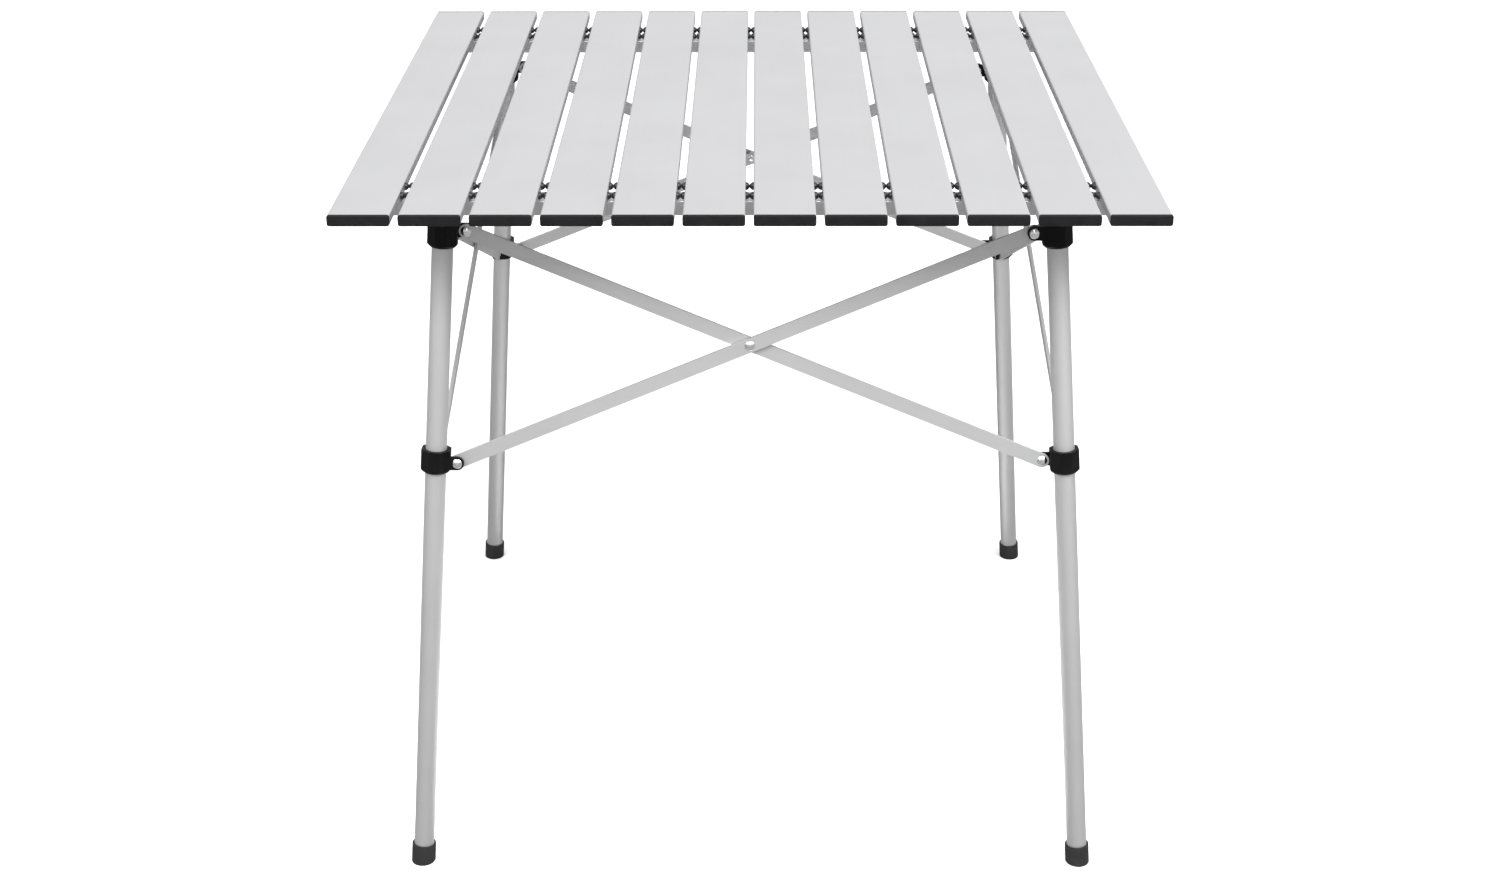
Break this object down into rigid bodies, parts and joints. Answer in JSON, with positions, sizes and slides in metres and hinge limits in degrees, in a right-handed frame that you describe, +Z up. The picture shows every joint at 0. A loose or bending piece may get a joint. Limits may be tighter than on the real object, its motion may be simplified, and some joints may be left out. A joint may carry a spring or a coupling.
{
  "type": "folding picnic table",
  "caption": "Folding picnic table: a roll-up top of hollow metal slats strung on elastic cords, on a frame of splayed tube legs with sliding collars and crossed flat braces.",
  "frame": {"origin": "on the floor, below the middle of the table top", "axes": "+Z up, +X to the right across the slats, +Y to the back along the slats"},
  "size_m": [0.7, 0.7, 0.668],
  "materials": {
    "slat_metal": "satin anodised extrusion",
    "rail_metal": "satin anodised extrusion",
    "tube_metal": "satin anodised tube",
    "brace_metal": "satin flat bar",
    "rivet_metal": "polished steel dome",
    "fitting_plastic": "fine moulded texture",
    "hub_plastic": "semi-matte moulded nylon",
    "foot_rubber": "matte moulded rubber"
  },
  "bodies": {
    "leg_front_left": {"leg_tube_front_left": "tube_metal", "foot_front_left": "foot_rubber", "upper_hub_front_left": "hub_plastic"},
    "collar_front_left": {"slider_collar_front_left": "hub_plastic"},
    "leg_front_right": {"leg_tube_front_right": "tube_metal", "foot_front_right": "foot_rubber", "upper_hub_front_right": "hub_plastic"},
    "collar_front_right": {"slider_collar_front_right": "hub_plastic"},
    "leg_back_right": {"leg_tube_back_right": "tube_metal", "foot_back_right": "foot_rubber", "upper_hub_back_right": "hub_plastic"},
    "collar_back_right": {"slider_collar_back_right": "hub_plastic"},
    "leg_back_left": {"leg_tube_back_left": "tube_metal", "foot_back_left": "foot_rubber", "upper_hub_back_left": "hub_plastic"},
    "collar_back_left": {"slider_collar_back_left": "hub_plastic"},
    "brace_front_outer": {"front_outer_brace": "brace_metal", "front_outer_rivets": "rivet_metal"},
    "brace_front_inner": {"front_inner_brace": "brace_metal", "front_inner_rivets": "rivet_metal"},
    "brace_right_outer": {"right_outer_brace": "brace_metal", "right_outer_rivets": "rivet_metal"},
    "brace_right_inner": {"right_inner_brace": "brace_metal", "right_inner_rivets": "rivet_metal"},
    "brace_back_outer": {"back_outer_brace": "brace_metal", "back_outer_rivets": "rivet_metal"},
    "brace_back_inner": {"back_inner_brace": "brace_metal", "back_inner_rivets": "rivet_metal"},
    "brace_left_outer": {"left_outer_brace": "brace_metal", "left_outer_rivets": "rivet_metal"},
    "brace_left_inner": {"left_inner_brace": "brace_metal", "left_inner_rivets": "rivet_metal"},
    "top_base": {"front_rail": "rail_metal", "back_rail": "rail_metal", "rail_end_plugs": "fitting_plastic", "slat_01": "slat_metal", "slat_fittings_01": "fitting_plastic"},
    "slat_body_02": {"slat_02": "slat_metal", "slat_fittings_02": "fitting_plastic"},
    "slat_body_03": {"slat_03": "slat_metal", "slat_fittings_03": "fitting_plastic"},
    "slat_body_04": {"slat_04": "slat_metal", "slat_fittings_04": "fitting_plastic"},
    "slat_body_05": {"slat_05": "slat_metal", "slat_fittings_05": "fitting_plastic"},
    "slat_body_06": {"slat_06": "slat_metal", "slat_fittings_06": "fitting_plastic"},
    "slat_body_07": {"slat_07": "slat_metal", "slat_fittings_07": "fitting_plastic"},
    "slat_body_08": {"slat_08": "slat_metal", "slat_fittings_08": "fitting_plastic"},
    "slat_body_09": {"slat_09": "slat_metal", "slat_fittings_09": "fitting_plastic"},
    "slat_body_10": {"slat_10": "slat_metal", "slat_fittings_10": "fitting_plastic"},
    "slat_body_11": {"slat_11": "slat_metal", "slat_fittings_11": "fitting_plastic"},
    "slat_body_12": {"slat_12": "slat_metal", "slat_fittings_12": "fitting_plastic"}
  },
  "joints": [
    {"name": "frame_fold", "type": "hinge", "parent": "leg_front_left", "child": "brace_front_inner", "pos_m": [-0.2465, -0.2665, 0.625], "axis": [0, 0.9967, -0.0813], "range_deg": [0, 69.44]},
    {"name": "front_cross", "type": "hinge", "parent": "brace_front_inner", "child": "brace_front_outer", "pos_m": [0, -0.27486, 0.52259], "axis": [0, -0.9967, 0.0813], "range_deg": [0, 129.75]},
    {"name": "front_right_leg_pivot", "type": "hinge", "parent": "brace_front_outer", "child": "leg_front_right", "pos_m": [0.2465, -0.2665, 0.625], "axis": [0, 0.9967, -0.0813], "range_deg": [0, 69.44]},
    {"name": "right_inner_pivot", "type": "hinge", "parent": "leg_front_right", "child": "brace_right_inner", "pos_m": [0.2665, -0.2465, 0.625], "axis": [-0.9967, 0, -0.0813], "range_deg": [0, 69.44]},
    {"name": "right_cross", "type": "hinge", "parent": "brace_right_inner", "child": "brace_right_outer", "pos_m": [0.27486, 0, 0.52259], "axis": [0.9967, 0, 0.0813], "range_deg": [0, 129.75]},
    {"name": "back_right_leg_pivot", "type": "hinge", "parent": "brace_right_outer", "child": "leg_back_right", "pos_m": [0.2665, 0.2465, 0.625], "axis": [-0.9967, 0, -0.0813], "range_deg": [0, 69.44]},
    {"name": "left_outer_pivot", "type": "hinge", "parent": "leg_front_left", "child": "brace_left_outer", "pos_m": [-0.2665, -0.2465, 0.625], "axis": [-0.9967, 0, 0.0813], "range_deg": [0, 69.44]},
    {"name": "left_cross", "type": "hinge", "parent": "brace_left_outer", "child": "brace_left_inner", "pos_m": [-0.27486, 0, 0.52259], "axis": [0.9967, 0, -0.0813], "range_deg": [0, 129.75]},
    {"name": "back_left_leg_pivot", "type": "hinge", "parent": "brace_left_inner", "child": "leg_back_left", "pos_m": [-0.2665, 0.2465, 0.625], "axis": [-0.9967, 0, 0.0813], "range_deg": [0, 69.44]},
    {"name": "back_outer_pivot", "type": "hinge", "parent": "leg_back_left", "child": "brace_back_outer", "pos_m": [-0.2465, 0.2665, 0.625], "axis": [-0.0022, 0.9967, 0.0815], "range_deg": [0, 69.44]},
    {"name": "back_inner_pivot", "type": "hinge", "parent": "leg_back_right", "child": "brace_back_inner", "pos_m": [0.2465, 0.2665, 0.625], "axis": [-0.0006, -0.9967, -0.0814], "range_deg": [0, 69.44]},
    {"name": "front_left_collar_slide", "type": "slide", "parent": "leg_front_left", "child": "collar_front_left", "axis": [-0.0811, -0.0811, -0.9934], "range_m": [0, 0.33912]},
    {"name": "front_right_collar_slide", "type": "slide", "parent": "leg_front_right", "child": "collar_front_right", "axis": [0.0811, -0.0811, -0.9934], "range_m": [0, 0.33912]},
    {"name": "back_right_collar_slide", "type": "slide", "parent": "leg_back_right", "child": "collar_back_right", "axis": [0.0811, 0.0811, -0.9934], "range_m": [0, 0.33912]},
    {"name": "back_left_collar_slide", "type": "slide", "parent": "leg_back_left", "child": "collar_back_left", "axis": [-0.0811, 0.0811, -0.9934], "range_m": [0, 0.33912]},
    {"name": "top_lift", "type": "slide", "parent": "leg_front_left", "child": "top_base", "axis": [0, 0, 1], "range_m": [0, 0.12]},
    {"name": "slat_roll_01", "type": "hinge", "parent": "top_base", "child": "slat_body_02", "pos_m": [-0.29455, 0, 0.668], "axis": [0, -1, 0], "range_deg": [0, 48]},
    {"name": "slat_roll_02", "type": "hinge", "parent": "slat_body_02", "child": "slat_body_03", "pos_m": [-0.23564, 0, 0.668], "axis": [0, -1, 0], "range_deg": [0, 48.17]},
    {"name": "slat_roll_03", "type": "hinge", "parent": "slat_body_03", "child": "slat_body_04", "pos_m": [-0.17673, 0, 0.668], "axis": [0, -1, 0], "range_deg": [0, 48.85]},
    {"name": "slat_roll_04", "type": "hinge", "parent": "slat_body_04", "child": "slat_body_05", "pos_m": [-0.11782, 0, 0.668], "axis": [0, -1, 0], "range_deg": [0, 50.23]},
    {"name": "slat_roll_05", "type": "hinge", "parent": "slat_body_05", "child": "slat_body_06", "pos_m": [-0.05891, 0, 0.668], "axis": [0, -1, 0], "range_deg": [0, 52.45]},
    {"name": "slat_roll_06", "type": "hinge", "parent": "slat_body_06", "child": "slat_body_07", "pos_m": [0, 0, 0.668], "axis": [0, -1, 0], "range_deg": [0, 55.59]},
    {"name": "slat_roll_07", "type": "hinge", "parent": "slat_body_07", "child": "slat_body_08", "pos_m": [0.05891, 0, 0.668], "axis": [0, -1, 0], "range_deg": [0, 59.75]},
    {"name": "slat_roll_08", "type": "hinge", "parent": "slat_body_08", "child": "slat_body_09", "pos_m": [0.11782, 0, 0.668], "axis": [0, -1, 0], "range_deg": [0, 65]},
    {"name": "slat_roll_09", "type": "hinge", "parent": "slat_body_09", "child": "slat_body_10", "pos_m": [0.17673, 0, 0.668], "axis": [0, -1, 0], "range_deg": [0, 71.42]},
    {"name": "slat_roll_10", "type": "hinge", "parent": "slat_body_10", "child": "slat_body_11", "pos_m": [0.23564, 0, 0.668], "axis": [0, -1, 0], "range_deg": [0, 79.07]},
    {"name": "slat_roll_11", "type": "hinge", "parent": "slat_body_11", "child": "slat_body_12", "pos_m": [0.29455, 0, 0.668], "axis": [0, -1, 0], "range_deg": [0, 88.01]}
  ],
  "couplings": [
    {"joint": "front_cross", "follows": "frame_fold", "ratio": 1.8685},
    {"joint": "front_right_leg_pivot", "follows": "frame_fold", "ratio": 1},
    {"joint": "right_inner_pivot", "follows": "frame_fold", "ratio": 1},
    {"joint": "right_cross", "follows": "frame_fold", "ratio": 1.8685},
    {"joint": "back_right_leg_pivot", "follows": "frame_fold", "ratio": 1},
    {"joint": "left_outer_pivot", "follows": "frame_fold", "ratio": 1},
    {"joint": "left_cross", "follows": "frame_fold", "ratio": 1.8685},
    {"joint": "back_left_leg_pivot", "follows": "frame_fold", "ratio": 1},
    {"joint": "back_outer_pivot", "follows": "frame_fold", "ratio": 1},
    {"joint": "back_inner_pivot", "follows": "frame_fold", "ratio": 1},
    {"joint": "front_left_collar_slide", "follows": "frame_fold", "m_per_rad": 0.27966},
    {"joint": "front_right_collar_slide", "follows": "frame_fold", "m_per_rad": 0.27966},
    {"joint": "back_right_collar_slide", "follows": "frame_fold", "m_per_rad": 0.27966},
    {"joint": "back_left_collar_slide", "follows": "frame_fold", "m_per_rad": 0.27966},
    {"joint": "slat_roll_02", "follows": "slat_roll_01", "ratio": 1.0033},
    {"joint": "slat_roll_03", "follows": "slat_roll_01", "ratio": 1.0175},
    {"joint": "slat_roll_04", "follows": "slat_roll_01", "ratio": 1.0463},
    {"joint": "slat_roll_05", "follows": "slat_roll_01", "ratio": 1.0924},
    {"joint": "slat_roll_06", "follows": "slat_roll_01", "ratio": 1.1579},
    {"joint": "slat_roll_07", "follows": "slat_roll_01", "ratio": 1.2446},
    {"joint": "slat_roll_08", "follows": "slat_roll_01", "ratio": 1.354},
    {"joint": "slat_roll_09", "follows": "slat_roll_01", "ratio": 1.4878},
    {"joint": "slat_roll_10", "follows": "slat_roll_01", "ratio": 1.6471},
    {"joint": "slat_roll_11", "follows": "slat_roll_01", "ratio": 1.8333}
  ]
}
